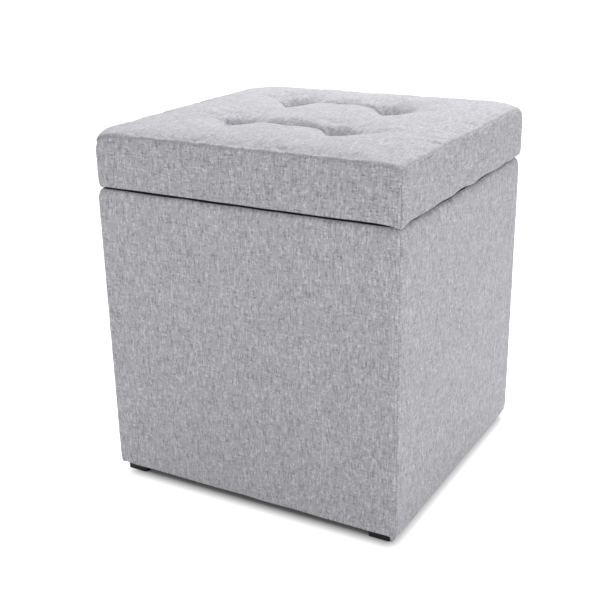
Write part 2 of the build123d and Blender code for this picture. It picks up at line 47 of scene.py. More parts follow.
# Base cover, mm: half sizes, corner radius, heights, rolled and turned edges, foam inside
BASE_X, BASE_Y, BASE_R = 200, 190, 6
RIM, COVER_BOTTOM = 380, 10
RIM_ROLL, THROAT_ROLL, BOTTOM_ROLL = 4, 2.5, 4
THROAT_DEPTH, RIM_RETURN, BOTTOM_RETURN = 19.4, 28, 30
PAD_INSET, PAD_LOW, PAD_HIGH, PAD_PLAY = 6.1, 16, 374, 1.4

# Lid cover, mm; its top has a narrow rolled edge and a low dome
LID_X, LID_Y, LID_R = 201.75, 191.75, 9
LID_UNDER, LID_SEAM, LID_TOP = 382.5, 445.2, 454.4
BOARD_TOP = 395.7
LID_ROLL, LID_RETURN = 3.2, 30
SEAM_INSET = 1.4
EDGE_RISE, EDGE_WIDTH, DOME_POWER = 2.4, 5, 3.2

# Insets from which the rim and the lid's underside are black cloth: painted shade, a dark sheet standing in
# for the shade in the gap between lid and base
RIM_PAINTED_SHADE_INSET, LID_PAINTED_SHADE_INSET = 2.2, 4

# Tufts, mm: a button's seat, the funnel round it, and how that narrows to the left and ahead
TUFT_X, TUFT_Y = 69, 72
TUFTS = [(sx * TUFT_X, sy * TUFT_Y) for sx in (-1, 1) for sy in (-1, 1)]
TUFT_SEAT, SEAT_PLAY = 431, 0.3
TUFT_FLAT, TUFT_MOUTH, TUFT_STEEP = 9.5, 47, 1.9
NARROW_LEFT, NARROW_AHEAD_RIGHT, NARROW_AHEAD_LEFT = 0.5, 0.5, 0.9

# Creases that join the tufts, mm: deepest in the rows, shallow in the columns
ROW_CREASE, ROW_WIDTH, ROW_WIDER, ROW_POWER = 10.5, 14, 12, 1.7
ROW_REACH_LEFT, ROW_REACH_RIGHT = 48, 62
ROW_SHIFT, ROW_SPREAD = 10, 26
COLUMN_CREASE, COLUMN_WIDTH, COLUMN_REACH, COLUMN_POWER = 6.5, 52, 62, 1.4

# Top corners of the lid, mm: how far each drops and how wide, more at the rear left
CORNER_DROP, CORNER_REACH = 4, 22
REAR_LEFT_DROP, REAR_LEFT_REACH = 1.3, 75
# The two softest ones: side in x and in y, drop, reach, pull inwards
SOFT_CORNERS = [(-1, -1, 2.6, 16, 2.6), (1, 1, 1.3, 15, 1.1)]
# A place at the rear where the cushion is thicker: rise, x, reach in x and from the rear
THICK_RISE, THICK_X, THICK_REACH_X, THICK_REACH_Y = 1.1, 125, 60, 45

# Corners in a ring's order, mm: front left, front right, rear right, rear left. The lean below
# is the part that ends under the top.
FRONT_LEFT, FRONT_RIGHT = 0, 1
BASE_PINCH = np.array([0.7, 0.5, 1.4, 2])
BASE_FOLD = np.array([1.6, 7.6, 1.6, 0.8])
LID_DROOP = np.array([3, 3.4, 1.2, 1.6])
LID_PINCH = np.array([1.5, 0.8, 0.6, 1.6])
LID_LEAN, LID_LEAN_BELOW = np.array([0, 0.3, 0, 1]), np.array([2.8, 0, -0.4, 0])
# The sides in a ring's order start with these
FRONT_SIDE, RIGHT_SIDE = 0, 1

# How far apart the fabric coordinates of sides, tops and buttons lie, mm
SIDE_APART, TOP_APART, BUTTON_APART = 700, 3100, 5000


# -------- shapes
def smooth(x):
    """0 to 1 with flat ends."""
    x = np.clip(x, 0, 1)
    return x * x * (3 - 2 * x)


def fade(x, at_zero, at_one):
    """0 to 1 with flat ends, from one place to another."""
    return smooth((x - at_zero) / (at_one - at_zero))


def bell(x):
    """1 at zero, and close to 0 from 2 on."""
    return np.exp(-(x**2))


def quarter(count):
    """(sine, cosine) of evenly spaced angles from 0 to 90 degrees."""
    angle = np.radians(np.linspace(0, 90, count))
    return list(zip(np.sin(angle), np.cos(angle)))


def bump_noise(x, y, size, seed, waves=14):
    """Smooth noise of about -1 to 1 with features of that size."""
    draw = np.random.default_rng(seed)
    total = np.zeros(np.broadcast(x, y).shape)
    for _ in range(waves):
        angle, phase = draw.uniform(0, 2 * math.pi, 2)
        pitch = size * draw.uniform(0.7, 1.6)
        total += np.sin(2 * math.pi * (x * math.cos(angle) + y * math.sin(angle)) / pitch + phase)
    return total / math.sqrt(waves)


def lines(breaks, step):
    """Grid lines on both sides of zero, through every break, with spacing step(x)."""
    out = [breaks[0]]
    for low, high in zip(breaks, breaks[1:]):
        run = [low]
        while run[-1] < high:
            run.append(run[-1] + step(run[-1]))
        run = np.array(run)
        run = low + (run - low) * (high - low) / (run[-1] - low)
        out.extend(run[1:])
    half = np.array(out)
    return np.concatenate([-half[:0:-1], half])


def edged(breaks, fine, coarse, band):
    """Grid lines that are fine within a band along the outer edge."""
    return lines(breaks, lambda x: fine if x > breaks[-1] - band else coarse)


class Ring:
    """The boundary of a grid of lines, once round from the front left corner by the front right one."""

    def __init__(self, xs, ys, half_x, half_y, radius):
        nx, ny = len(xs), len(ys)
        order = [(i, 0) for i in range(nx - 1)] + [(nx - 1, j) for j in range(ny - 1)]
        order += [(i, ny - 1) for i in range(nx - 1, 0, -1)] + [(0, j) for j in range(ny - 1, 0, -1)]
        self.i, self.j = np.array(order).T
        self.size = len(order)
        self.half_x, self.half_y, self.radius = half_x, half_y, radius
        self.x, self.y, self.nx, self.ny = rounded(xs[self.i], ys[self.j], half_x, half_y, radius)
        self.normal = np.stack([self.nx, self.ny, 0 * self.nx], axis=1)
        step = np.hypot(np.roll(self.x, -1) - self.x, np.roll(self.y, -1) - self.y)
        self.s = np.concatenate([[0], np.cumsum(step)])
        self.start, length = self.s[:-1], self.s[-1]
        corners = np.array([0, nx - 1, nx + ny - 2, 2 * nx + ny - 3])
        self.corner_s = self.s[corners]
        self.side = np.searchsorted(corners, np.arange(self.size), side="right") - 1
        gap = self.start[:, None] - self.corner_s[None, :]
        gap = (gap + length / 2) % length - length / 2
        self.near = np.argmin(abs(gap), axis=1)
        self.from_corner = gap[np.arange(self.size), self.near]
        self.corner = abs(self.from_corner)
        self.turn = np.interp(self.start, np.append(self.corner_s, length), np.arange(5))
        self.along = np.sin(math.pi * (self.turn % 1))

    def at(self, inset, z, out=0):
        """The ring at a height, moved inwards, and then outwards by out along its normals."""
        fixed = min(inset, self.radius - 0.6)
        x, y = self.x - self.nx * fixed, self.y - self.ny * fixed
        if inset > fixed:
            x = x * (self.half_x - inset) / (self.half_x - fixed)
            y = y * (self.half_y - inset) / (self.half_y - fixed)
        return np.stack([x + self.nx * out, y + self.ny * out, 0 * x + z], axis=1)

    def row(self, x, y, z):
        """The boundary points of a grid, in the ring's order."""
        return np.stack([grid[self.i, self.j] for grid in (x, y, z)], axis=1)


def rounded(x, y, half_x, half_y, radius):
    """Moves points of a rectangle into the same one with round corners; also the outward normal."""
    u = np.clip((abs(x) - (half_x - radius)) / radius, 0, 1)
    v = np.clip((abs(y) - (half_y - radius)) / radius, 0, 1)
    corner = (u > 0) & (v > 0)
    cu, cv = u * np.sqrt(1 - v * v / 2), v * np.sqrt(1 - u * u / 2)
    sx, sy = np.sign(x), np.sign(y)
    px = np.where(corner, sx * (half_x - radius + radius * cu), x)
    py = np.where(corner, sy * (half_y - radius + radius * cv), y)
    size = np.maximum(np.hypot(cu, cv), 1e-9)
    nx = np.where(corner, sx * cu / size, np.where(abs(x) >= half_x - 1e-6, sx, 0.0))
    ny = np.where(corner, sy * cv / size, np.where(abs(y) >= half_y - 1e-6, sy, 0.0))
    return px, py, nx, ny


def distances(line):
    """How far along a line each of its points lies."""
    return np.concatenate([[0], np.cumsum(np.linalg.norm(np.diff(line, axis=0), axis=1))])


def between(a, b):
    """Quads between two closed rows of point numbers."""
    return np.stack([a, np.roll(a, -1), np.roll(b, -1), b], axis=1)


def cells(grid):
    """The four corners of every cell of a grid."""
    return np.stack([grid[:-1, :-1], grid[1:, :-1], grid[1:, 1:], grid[:-1, 1:]], axis=2)


class Mesh:
    """Points in mm, faces, and a fabric coordinate in metres for each face corner."""

    def __init__(self):
        self.points, self.faces, self.uv, self.slots = [], [], [], []
        self.count, self.slot = 0, 0

    def add(self, points):
        """Adds points and returns their numbers in the same arrangement."""
        points = np.asarray(points, float)
        ids = self.count + np.arange(points.size // 3).reshape(points.shape[:-1])
        self.points.append(points.reshape(-1, 3))
        self.count += ids.size
        return ids

    def quads(self, faces, uv):
        self.faces.append(np.asarray(faces, int).reshape(-1, 4))
        self.uv.append(np.asarray(uv, float).reshape(-1, 4, 2) * MM)
        self.slots.append(np.full(len(self.faces[-1]), self.slot, np.int32))

    def rows(self, ring, rows, slots=None):
        """Quads between rows of ring points, facing the ring's direction x the order of the rows."""
        rows = np.asarray(rows)
        ids = self.add(rows)
        v = distances(rows[:, ring.size // 8])
        u0, u1 = ring.s[:-1] + SIDE_APART * ring.side, ring.s[1:] + SIDE_APART * ring.side
        for r, (a, b) in enumerate(zip(ids, ids[1:])):
            self.slot = slots[r] if slots else 0
            low, high = 0 * u0 + v[r], 0 * u0 + v[r + 1]
            uv = [np.stack(pair, axis=1) for pair in ((u0, low), (u1, low), (u1, high), (u0, high))]
            self.quads(between(a, b), np.stack(uv, axis=1))
        self.slot = 0
        return ids

    def patch(self, ring, x, y, z, edge_ids, up=True):
        """A grid of points whose boundary is a row that exists already."""
        ids = -np.ones(x.shape, int)
        ids[ring.i, ring.j] = edge_ids
        inner = ids < 0
        ids[inner] = self.add(np.stack([x[inner], y[inner], z[inner]], axis=1))
        turn = 1 if up else -1
        uv = cells(np.stack([x, y], axis=-1) + TOP_APART)
        self.quads(cells(ids)[..., ::turn], uv[..., ::turn, :])
        return ids

    def make(self, name, *finishes):
        points = np.concatenate(self.points) * MM
        faces, uv = np.concatenate(self.faces), np.concatenate(self.uv)
        mesh = bpy.data.meshes.new(name)
        mesh.vertices.add(len(points))
        mesh.vertices.foreach_set("co", points.astype(np.float32).ravel())
        mesh.loops.add(faces.size)
        mesh.loops.foreach_set("vertex_index", faces.astype(np.int32).ravel())
        mesh.polygons.add(len(faces))
        mesh.polygons.foreach_set("loop_start", np.arange(0, faces.size, 4, dtype=np.int32))
        layer = mesh.uv_layers.new(name="fabric")
        layer.data.foreach_set("uv", uv.astype(np.float32).ravel())
        mesh.update(calc_edges=True)
        mesh.polygons.foreach_set("use_smooth", np.ones(len(mesh.polygons), bool))
        mesh.polygons.foreach_set("material_index", np.concatenate(self.slots))
        for finish in finishes:
            mesh.materials.append(MATERIALS[finish])
        return put_in_scene(name, mesh)


def put_in_scene(name, data):
    piece = bpy.data.objects.new(name, data)
    scene.collection.objects.link(piece)
    return piece


# -------- materials
class Nodes:
    """The nodes of a new material or world, with short ways to add and join them."""

    def __init__(self, name, kind="materials"):
        self.owner = getattr(bpy.data, kind).new(name)
        self.owner.use_nodes = True
        self.tree = self.owner.node_tree
        self.shader = self.tree.nodes.get("Principled BSDF")

    def node(self, kind, settings=None, **inputs):
        """A ShaderNode of that kind with its inputs by name, or by number as i0, i1 and so on."""
        node = self.tree.nodes.new("ShaderNode" + kind)
        for key, value in (settings or {}).items():
            setattr(node, key, value)
        for key, value in inputs.items():
            self.put(node.inputs[int(key[1:]) if key[1:].isdigit() else key], value)
        return node

    def put(self, socket, value):
        """Sets a plain value, or joins a socket or a node's first output."""
        if isinstance(value, bpy.types.Node):
            value = value.outputs[0]
        if isinstance(value, bpy.types.NodeSocket):
            self.tree.links.new(value, socket)
        else:
            socket.default_value = value

    def math(self, operation, a, b=0, c=0):
        return self.node("Math", {"operation": operation}, i0=a, i1=b, i2=c)

    def vector(self, operation, a, b=(0, 0, 0)):
        return self.node("VectorMath", {"operation": operation}, i0=a, i1=b)

    def scaled(self, vector, factor):
        return self.node("VectorMath", {"operation": "SCALE"}, i0=vector, i3=factor)

    def ramp(self, value, low, high, to_low=0, to_high=1):
        return self.node("MapRange", i0=value, i1=low, i2=high, i3=to_low, i4=to_high)

    def mix(self, factor, a, b):
        return self.node("Mix", {"data_type": "RGBA"}, i0=factor, i6=a, i7=b).outputs[2]

    def xyz(self, x, y=0, z=0):
        return self.node("CombineXYZ", i0=x, i1=y, i2=z)

    def parts(self, vector):
        return self.node("SeparateXYZ", i0=vector).outputs

    def position(self):
        return self.node("TexCoord").outputs["Object"]

    def fabric(self):
        return self.node("UVMap", {"uv_map": "fabric"})

    def noise(self, vector, scale=1, detail=2, roughness=0.5, dimensions="3D"):
        inputs = {"Vector": vector, "Scale": scale, "Detail": detail, "Roughness": roughness}
        return self.node("TexNoise", {"noise_dimensions": dimensions}, **inputs)

    def bump(self, height, distance, strength=1):
        node = self.node("Bump", Strength=strength, Distance=distance, Height=height)
        self.put(self.shader.inputs["Normal"], node)

    def finish(self, colour, roughness, **sockets):
        for key, value in {"Base_Color": colour, "Roughness": roughness, **sockets}.items():
            self.put(self.shader.inputs[key.replace("_", " ")], value)
        return self.owner


WHITE = (1, 1, 1, 1)


def linear(*rgb):
    """A colour written as sRGB 0 to 255."""
    return (*(v / 255 / 12.92 if v < 10.4 else ((v / 255 + 0.055) / 1.055) ** 2.4 for v in rgb), 1)


# Linen, m: spacing of the threads, of the slubbed ones and of the knots, and how far a thread wanders
THREAD, SLUB_PITCH, KNOT_PITCH = 0.00078, 0.0014, 0.0017
WANDER, WANDER_SCALE = 0.0006, 16
# Long and short slubs per metre of thread, and the level of noise from which there is one
SLUBS_LONG, SLUBS_SHORT, SLUB_LEVEL, WEFT_RARER = 85, 230, 0.695, 0.03
# How much slubs, knots and fibres change the brightness, and the share of plain cells
SLUB_TONE, KNOT_TONE, FIBRE_TONE, KNOT_LEVEL = 0.27, 0.19, 0.06, 0.965


def linen(name, warp, weft, tone, contrast):
    """Melange linen: warp threads run along the fabric's v, weft threads along its u.

    warp and weft say how much each one's slubs show."""
    n = Nodes(name)
    uv = n.fabric()
    u, v, _ = n.parts(uv)

    def slubs(across, along, seed, level):
        """Streaks of light and dark yarn, one row to each slub pitch, with plain yarn between."""
        bent = n.math("MULTIPLY_ADD", n.noise(n.xyz(across, along, seed), WANDER_SCALE, 1), WANDER, across)
        row = n.math("MULTIPLY_ADD", n.math("FLOOR", n.math("DIVIDE", bent, SLUB_PITCH)), 7.31, seed)
        long_at = n.xyz(row, n.math("MULTIPLY", along, SLUBS_LONG))
        short_at = n.xyz(n.math("ADD", row, 0.37), n.math("MULTIPLY", along, SLUBS_SHORT))
        long, short = (n.noise(at, 1, 0, 0.5, "2D") for at in (long_at, short_at))
        light_long, light_short = n.ramp(long, level, level + 0.03), n.ramp(short, level + 0.05, level + 0.08)
        dark_long = n.ramp(long, 1 - level, 0.97 - level)
        dark_short = n.ramp(short, 0.95 - level, 0.92 - level)
        light, dark = n.math("MAXIMUM", light_long, light_short), n.math("MAXIMUM", dark_long, dark_short)
        return n.math("SUBTRACT", light, dark)

    def wave(along):
        return n.math("SINE", n.math("MULTIPLY", along, math.pi / THREAD))

    warp_slub = slubs(u, v, 3, SLUB_LEVEL)
    weft_slub = slubs(v, u, 58, SLUB_LEVEL + WEFT_RARER)
    slub = n.math("ADD", n.math("MULTIPLY", warp_slub, warp), n.math("MULTIPLY", weft_slub, weft))
    knot_cell = n.vector("FLOOR", n.scaled(uv, 1 / KNOT_PITCH))
    knot = n.node("TexWhiteNoise", {"noise_dimensions": "2D"}, Vector=knot_cell)
    light_knot = n.ramp(knot, KNOT_LEVEL, KNOT_LEVEL + 0.01)
    knots = n.math("SUBTRACT", light_knot, n.ramp(knot, 1 - KNOT_LEVEL, 0.99 - KNOT_LEVEL))
    fibre = n.noise(uv, 1500, 2, 0.6)
    level = n.math("MULTIPLY_ADD", slub, SLUB_TONE * contrast, 1)
    level = n.math("MULTIPLY_ADD", knots, KNOT_TONE * contrast, level)
    level = n.math("MULTIPLY_ADD", n.math("SUBTRACT", fibre, 0.5), FIBRE_TONE, level)
    wave_u, wave_v = wave(u), wave(v)
    over = n.ramp(n.math("MULTIPLY", wave_u, wave_v), -0.4, 0.4)
    under = n.math("SUBTRACT", 1, over)
    warp_height = n.math("MULTIPLY", n.math("ABSOLUTE", wave_u), over)
    height = n.math("MAXIMUM", warp_height, n.math("MULTIPLY", n.math("ABSOLUTE", wave_v), under))
    # Painted shade between the threads: the weave's low places are darker than its crowns
    level = n.math("MULTIPLY", level, n.ramp(height, 0.1, 0.9, 0.9 * tone, 1.05 * tone))
    colour = n.mix(n.ramp(slub, -1, 1), linear(184, 184, 191), linear(190, 188, 192))
    relief = n.math("MULTIPLY_ADD", fibre, 0.35, n.math("MULTIPLY_ADD", slub, 0.3, height))
    n.bump(relief, 0.0002 * contrast, 0.3)
    return n.finish(
        n.scaled(colour, level), 0.92, Specular_IOR_Level=0.22, Sheen_Weight=0.12, Sheen_Roughness=0.6
    )


def black_cloth(name):
    """Thin non-woven cloth with its grid of pressed dots."""
    n = Nodes(name)
    uv = n.fabric()
    dots = n.node("TexVoronoi", {"feature": "F1"}, Vector=uv, Scale=520, Randomness=0.12)
    pressed = n.ramp(dots.outputs["Distance"], 0.16, 0.34)
    fibres = n.noise(uv, 1400, 3, 0.65)
    cloud = n.noise(uv, 60, 3)
    shade = n.math("MULTIPLY_ADD", fibres, 0.5, n.math("MULTIPLY_ADD", cloud, 0.5, 0.5))
    shade = n.math("MULTIPLY", shade, n.ramp(pressed, 0, 1, 0.62, 1))
    colour = n.mix(n.ramp(shade, 0.3, 1.4), linear(8, 8, 9), linear(28, 28, 30))
    n.bump(n.math("MULTIPLY_ADD", fibres, 0.4, pressed), 0.00018, 0.6)
    return n.finish(colour, 0.82, Specular_IOR_Level=0.3, Sheen_Weight=0.1)


def fibreboard(name):
    n = Nodes(name)
    place = n.position()
    grain = n.noise(place, 900, 4, 0.7)
    cloud = n.noise(place, 40, 3)
    fleck = n.ramp(n.math("MULTIPLY_ADD", cloud, 0.5, grain), 0.5, 1)
    n.bump(grain, 0.0001, 0.5)
    return n.finish(n.mix(fleck, linear(150, 118, 82), linear(193, 163, 124)), 0.78)


def softwood(name):
    n = Nodes(name)
    place = n.position()
    bent = n.math("MULTIPLY", n.noise(place, 18, 3), 22)
    rings = n.math("SINE", n.math("MULTIPLY_ADD", n.parts(place)[2], 1400, bent))
    colour = n.mix(n.ramp(rings, -1, 1), linear(205, 172, 122), linear(230, 203, 158))
    pores = n.noise(place, 1200, 3, 0.7)
    colour = n.mix(n.ramp(pores, 0.55, 0.75, 0, 0.35), colour, linear(160, 124, 84))
    n.bump(pores, 0.00008, 0.5)
    return n.finish(colour, 0.7)


def foam_material(name):
    n = Nodes(name)
    bubbles = n.node("TexVoronoi", {"feature": "DISTANCE_TO_EDGE"}, Vector=n.position(), Scale=900)
    wall = n.ramp(bubbles.outputs["Distance"], 0.02, 0.25)
    n.bump(wall, 0.0003, 0.5)
    return n.finish(n.mix(wall, linear(236, 228, 196), linear(214, 203, 165)), 0.95)


def mottled(name, dark, light, spots, edges, fine, depth, strength, shine, **sockets):
    """Two tones in spots and a finer relief; shine is two spot levels and the roughness at each."""
    n = Nodes(name)
    place = n.position()
    spot = n.noise(place, *spots)
    n.bump(n.noise(place, *fine), depth, strength)
    return n.finish(n.mix(n.ramp(spot, *edges), dark, light), n.ramp(spot, *shine), **sockets)


def twine(name):
    n = Nodes(name)
    x, _, z = n.parts(n.position())
    lay = n.math("SINE", n.math("MULTIPLY_ADD", z, 3800, n.math("MULTIPLY", x, 2600)))
    n.bump(lay, 0.0001, 0.7)
    # Painted shade in the grooves of the twist: its low places are the darker colour
    return n.finish(n.mix(n.ramp(lay, -1, 1), linear(150, 140, 122), linear(206, 197, 178)), 0.85)


def thread(name, colour):
    n = Nodes(name)
    twist = n.noise(n.position(), 2600, 2)
    dark = tuple(c * 0.7 for c in colour[:3]) + (1,)
    return n.finish(n.mix(twist, dark, colour), 0.7, Sheen_Weight=0.1)


MATERIALS = {
    "base_fabric": linen("linen_base", warp=0.95, weft=0.6, tone=1, contrast=0.92),
    "lid_fabric": linen("linen_lid", warp=0.9, weft=0.85, tone=0.955, contrast=0.92),
    "lid_top_fabric": linen("linen_lid_top", warp=0.9, weft=0.85, tone=0.955, contrast=0.6),
    "fibreboard": fibreboard("fibreboard"),
    "softwood": softwood("softwood"),
    "foam": foam_material("foam"),
    "black_cloth": black_cloth("black_cloth"),
    "plastic": mottled(
        "black_plastic", linear(10, 10, 11), linear(24, 24, 25), (120, 4, 0.7), (0.45, 0.8),
        (1600, 3, 0.6), 0.00006, 0.6, (0.3, 0.8, 0.45, 0.65), Specular_IOR_Level=0.3,
    ),
    "steel": mottled(
        "zinc_steel", linear(168, 170, 172), linear(198, 199, 200), (160, 3, 0.6), (0.3, 0.7),
        (1800, 2), 0.00003, 0.5, (0.3, 0.75, 0.27, 0.42), Metallic=1,
    ),
    "twine": twine("twine"),
    "thread": thread("linen_thread", linear(128, 126, 132)),
    "black_thread": thread("black_thread", linear(46, 46, 50)),
}
# By a part of the CAD node's name; screws and all other nodes are steel
NODE_FINISH = {
    "panel": "fibreboard",
    "lid_board": "fibreboard",
    "cleats": "softwood",
    "wadding": "foam",
    "foam": "foam",
    "foot": "plastic",
    "ties": "twine",
}


def finish_nodes():
    """Gives every carried-over CAD node its material."""
    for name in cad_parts:
        finish = "steel"
        for part, value in NODE_FINISH.items():
            if part in name and "screws" not in name:
                finish = value
        materials = bpy.data.objects[name].data.materials
        materials.clear()
        materials.append(MATERIALS[finish])


# -------- base cover
# Its shape, mm: amounts, each followed by the height or corner distance it works over
BELLY, WALL_WAVES, WALL_WAVE_SIZE = 0.9, 0.22, 90
RIM_TIGHT, RIM_TIGHT_BAND = 3, 17
CORNER_TIGHT, CORNER_TIGHT_BAND, CORNER_TIGHT_REACH = 1.5, 11, 9
PUCKER, PUCKER_PITCH, PUCKER_REACH = 0.16, 9.5, 6
PINCH_BAND, PINCH_REACH = 16, 11
LEAN, LEAN_REACH = 1.6, 22
FOLD_INWARDS, FOLD_BAND, FOLD_REACH = 4, 14, 5
RIM_SAG, RIM_SAG_BAND, LEFT_SAG, LEFT_SAG_REACH = 1.3, 9, 0.45, 30
EDGE_WAVES = 0.35


def seam_dent(distance, depth=1.1, width=0.8, swell=0.35):
    """A sewn seam across a surface: a narrow groove between two low swells."""
    return swell * bell((abs(distance) - 2.4) / 1.3) - depth * bell(distance / width)


def base_profile():
    """(inset, height) of the rows, from the edge under the bottom to the edge inside the well."""
    profile = [(BOTTOM_RETURN, COVER_BOTTOM), (18, COVER_BOTTOM), (9, COVER_BOTTOM)]
    profile += [(BOTTOM_ROLL * (1 - sin), COVER_BOTTOM + BOTTOM_ROLL * (1 - cos)) for sin, cos in quarter(7)]
    heights = [16, 18.5, 22, 27, *np.arange(33, RIM - 28, 7), *np.arange(RIM - 26, RIM - 5, 2.5)]
    profile += [(0, z) for z in heights]
    profile += [(RIM_ROLL * (1 - cos), RIM - RIM_ROLL * (1 - sin)) for sin, cos in quarter(7)]
    profile += [(4.6, RIM), (7.5, RIM), (12, RIM)]
    for sin, cos in quarter(5):
        profile.append((THROAT_DEPTH - THROAT_ROLL * (1 - sin), RIM - THROAT_ROLL * (1 - cos)))
    return profile + [(THROAT_DEPTH, RIM - drop) for drop in (6, 11, 17, 23, RIM_RETURN)]


def base_rows(ring, profile):
    """Walls that bulge a little and are tight at the rim and the seams, with a hanging fold below."""
    s, along, corner = ring.start, ring.along, ring.corner
    tip = bell(corner / FOLD_REACH)
    hang = BASE_FOLD[ring.near] * tip + EDGE_WAVES * bump_noise(s, 0 * s, 60, 9)
    sag = RIM_SAG + EDGE_WAVES * bump_noise(s, 0 * s, 55, 13)
    sag = sag * along ** np.where(ring.side == FRONT_SIDE, 0.3, 0.5)
    sag = sag + LEFT_SAG * (ring.near == FRONT_LEFT) * bell(corner / LEFT_SAG_REACH)
    rows = []
    for inset, z in profile:
        height = (z - COVER_BOTTOM) / (RIM - COVER_BOTTOM)
        out = 0
        if inset < 7:
            belly = BELLY * np.sin(math.pi * np.clip(height, 0, 1)) ** 0.8 * along**0.7
            waves = WALL_WAVES * bump_noise(s, z, WALL_WAVE_SIZE, 5) * along
            pucker = PUCKER * np.sin(2 * math.pi * z / PUCKER_PITCH + 3 * np.sin(z / 31))
            out = belly + waves + seam_dent(ring.from_corner) + pucker * bell(corner / PUCKER_REACH)
            out = out - RIM_TIGHT * np.clip(1 - (RIM - z) / RIM_TIGHT_BAND, 0, 1) ** 2.4
            tight = fade(z, RIM - CORNER_TIGHT_BAND, RIM) * bell(corner / CORNER_TIGHT_REACH)
            out = out - CORNER_TIGHT * tight
            pinch = BASE_PINCH[ring.near] * bell(corner / PINCH_REACH)
            out = out - pinch * fade(z, COVER_BOTTOM + PINCH_BAND, COVER_BOTTOM)
            out = out - LEAN * (ring.near == FRONT_LEFT) * (1 - height) * bell(corner / LEAN_REACH)
            out = out * fade(inset, 8, 0)
        row = ring.at(inset, z, out)
        low = fade(z, COVER_BOTTOM + FOLD_BAND, COVER_BOTTOM)
        row[:, 0] -= FOLD_INWARDS * (ring.near == FRONT_RIGHT) * tip * low * fade(inset, 8, 2)
        top = fade(z, RIM - RIM_SAG_BAND, RIM) * fade(inset, 10, 4)
        row[:, 2] -= low * fade(inset, 12, 4) * hang + top * sag
        rows.append(row)
    return np.array(rows)


def base_skin():
    breaks = ([0, half - BASE_R - 8, half - BASE_R, half] for half in (BASE_X, BASE_Y))
    xs, ys = (edged(places, fine=0.75, coarse=4.5, band=12) for places in breaks)
    ring = Ring(xs, ys, BASE_X, BASE_Y, BASE_R)
    profile = base_profile()
    rows = base_rows(ring, profile)
    mesh = Mesh()
    # Rows of the rim's top, throat and inner return get the black cloth slot: painted shade for the dark gap
    # under the lid
    painted_shade_slots = [int(z > RIM - 3 and inset > RIM_PAINTED_SHADE_INSET or inset > 15 and z > 100) for inset, z in profile]
    mesh.rows(ring, rows, painted_shade_slots)
    piece = mesh.make("base_skin", "base_fabric", "black_cloth")
    outside = [r for r, (inset, _) in enumerate(profile) if inset < RIM_ROLL + 0.2]
    corner_threads("base_corner_stitches", ring, rows[outside], "base")
    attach(piece, "base")
    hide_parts("base_cover")
    return piece, ring, rows, profile


def side_pad(ring, rows, profile):
    """The foam between the panels and the cover, set in from the cover."""
    wall = [row for row, (inset, z) in zip(rows, profile) if inset < 3.5 and 11.5 < z < RIM - 1.5]
    low, high = ring.at(PAD_INSET, PAD_LOW), ring.at(PAD_INSET, PAD_HIGH)
    mesh = Mesh()
    mesh.rows(ring, [low, *(row - PAD_PLAY * ring.normal for row in wall), high, low])
    piece = mesh.make("side_pad", "foam")
    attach(piece, "base")
    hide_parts("side_wadding")


# -------- lid cover
# Spacing of the grid lines at the edge, round the tufts and elsewhere, mm
FINE_STEPS, COARSE_STEPS = (0.95, 1.7, 3.4), (4.5, 4.4, 6)
EDGE_BAND, TUFT_BAND = 13, 30
# Heights of its side rows, mm
FINE_HEIGHTS = [388, 391, *range(394, 435, 4), 437.5, 440]
COARSE_HEIGHTS = [390, 395, 401, 408, 416, 424, 432, 439]
# The folds round a button, mm: depth, swell between them, where they are deepest and how wide
FOLD_DEPTH, FOLD_SWELL, FOLDS_AT, FOLDS_REACH = 1.5, 0.35, 15, 10.5
CREASE_DEPTH, CREASE_WIDTH, CREASE_END = 1, 2.6, 34
# The sides, mm: bulge, waves, puckers, lean at the corners, and the lower edge's waves
SIDE_BELLY, SIDE_WAVES, SIDE_PUCKER = 0.3, 0.28, 0.14
LOW_REACH, SIDE_LEAN_REACH = 12, 13
LOW_WAVES, RIGHT_WAVES, OTHER_WAVES, FRONT_HANG, LOW_RAISE = 0.44, 1.9, 0.45, 0.4, 0.3
SEAM_DIP, SEAM_SWELL, SEAM_PULL = 0.3, 0.1, 0.3
TOP_WAVES = 0.45


def from_seam(x, y):
    """Distance inwards from the seam round the lid's top, 0 outside it."""
    qx, qy = abs(x) - (LID_X - SEAM_INSET - LID_R), abs(y) - (LID_Y - SEAM_INSET - LID_R)
    inside = LID_R - np.hypot(np.maximum(qx, 0), np.maximum(qy, 0)) - np.minimum(np.maximum(qx, qy), 0)
    return np.maximum(inside, 0)


def lid_crown(x, y):
    """Height of the untufted top."""
    roll = EDGE_RISE * np.sqrt(1 - (1 - np.clip(from_seam(x, y) / EDGE_WIDTH, 0, 1)) ** 2)
    dome = (1 - abs(x / LID_X) ** DOME_POWER) * (1 - abs(y / LID_Y) ** DOME_POWER)
    return LID_SEAM + roll + (LID_TOP - LID_SEAM - EDGE_RISE) * np.maximum(dome, 0) - corner_drop(x, y)


def near_corner(x, y, side_x, side_y, reach):
    return bell(np.hypot(x - side_x * LID_X, y - side_y * LID_Y) / reach)


def corner_drop(x, y):
    """How far the top is lowered towards its corners, less where the cushion is thicker."""
    drop = CORNER_DROP * near_corner(abs(x), abs(y), 1, 1, CORNER_REACH)
    drop = drop + REAR_LEFT_DROP * near_corner(x, y, -1, 1, REAR_LEFT_REACH)
    for side_x, side_y, more, reach, _ in SOFT_CORNERS:
        drop = drop + more * near_corner(x, y, side_x, side_y, reach)
    return drop - THICK_RISE * bell((x - THICK_X) / THICK_REACH_X) * bell((LID_Y - y) / THICK_REACH_Y)


def soft_shift(x, y):
    """How far the two softest top corners of the lid lie inwards, along x and y."""
    dx, dy = 0 * x, 0 * y
    for side_x, side_y, _, reach, inwards in SOFT_CORNERS:
        pull = inwards * near_corner(x, y, side_x, side_y, reach)
        dx, dy = dx - side_x * pull, dy - side_y * pull
    return dx, dy


